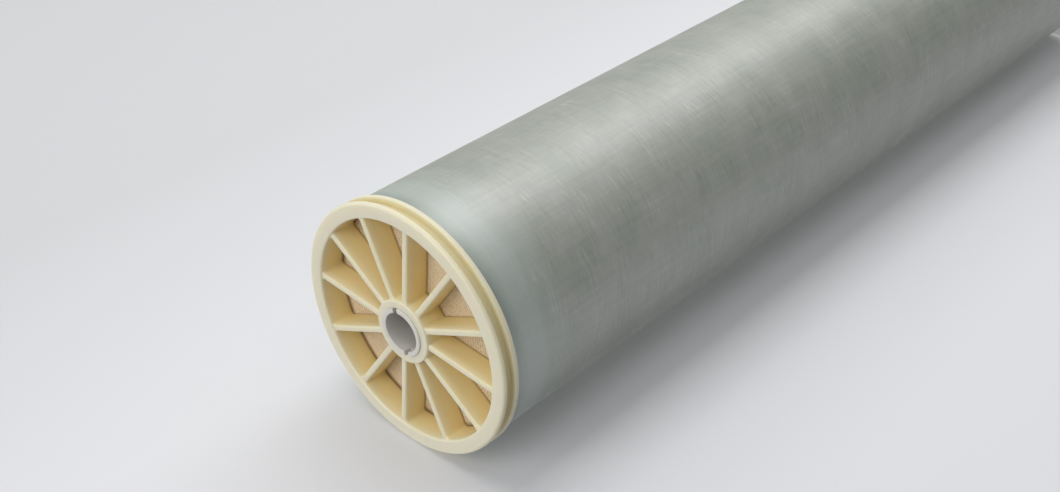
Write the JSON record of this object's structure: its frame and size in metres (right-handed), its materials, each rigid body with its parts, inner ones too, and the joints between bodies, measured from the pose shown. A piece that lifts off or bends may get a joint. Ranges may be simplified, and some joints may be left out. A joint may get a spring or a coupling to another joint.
{
  "type": "nanofiltration membrane element",
  "caption": "Spiral-wound water filter element: a roll of membrane leaves and spacer net on a permeate tube, in a fibreglass wrap between two spoked end caps.",
  "frame": {"origin": "centre of the lower end cap's face, which it stands on", "axes": "+Z along the element's axis, from the end with the brine seal to the plain end in the picture; +X along one spoke of both caps"},
  "size_m": [0.2048, 0.2048, 1.016],
  "materials": {
    "cap_plastic": "moulded cream plastic, satin",
    "tube_plastic": "grey-white plastic, satin",
    "carrier_cloth": "woven polyester",
    "membrane_film": "coated film, matt",
    "spacer_net": "extruded net, matt",
    "fibreglass": "wound fibreglass in resin, satin",
    "seal_rubber": "black rubber, matt"
  },
  "bodies": {
    "root": {"upper_end_cap": "cap_plastic", "lower_end_cap": "cap_plastic", "permeate_tube": "tube_plastic", "permeate_carrier_wrap": "carrier_cloth", "membrane_leaf_1": "membrane_film", "membrane_leaf_2": "membrane_film", "membrane_leaf_3": "membrane_film", "membrane_leaf_4": "membrane_film", "membrane_leaf_5": "membrane_film", "membrane_leaf_6": "membrane_film", "membrane_leaf_7": "membrane_film", "feed_spacer_1": "spacer_net", "feed_spacer_2": "spacer_net", "feed_spacer_3": "spacer_net", "feed_spacer_4": "spacer_net", "feed_spacer_5": "spacer_net", "feed_spacer_6": "spacer_net", "feed_spacer_7": "spacer_net", "fibreglass_wrap": "fibreglass", "brine_seal": "seal_rubber"}
  },
  "joints": []
}
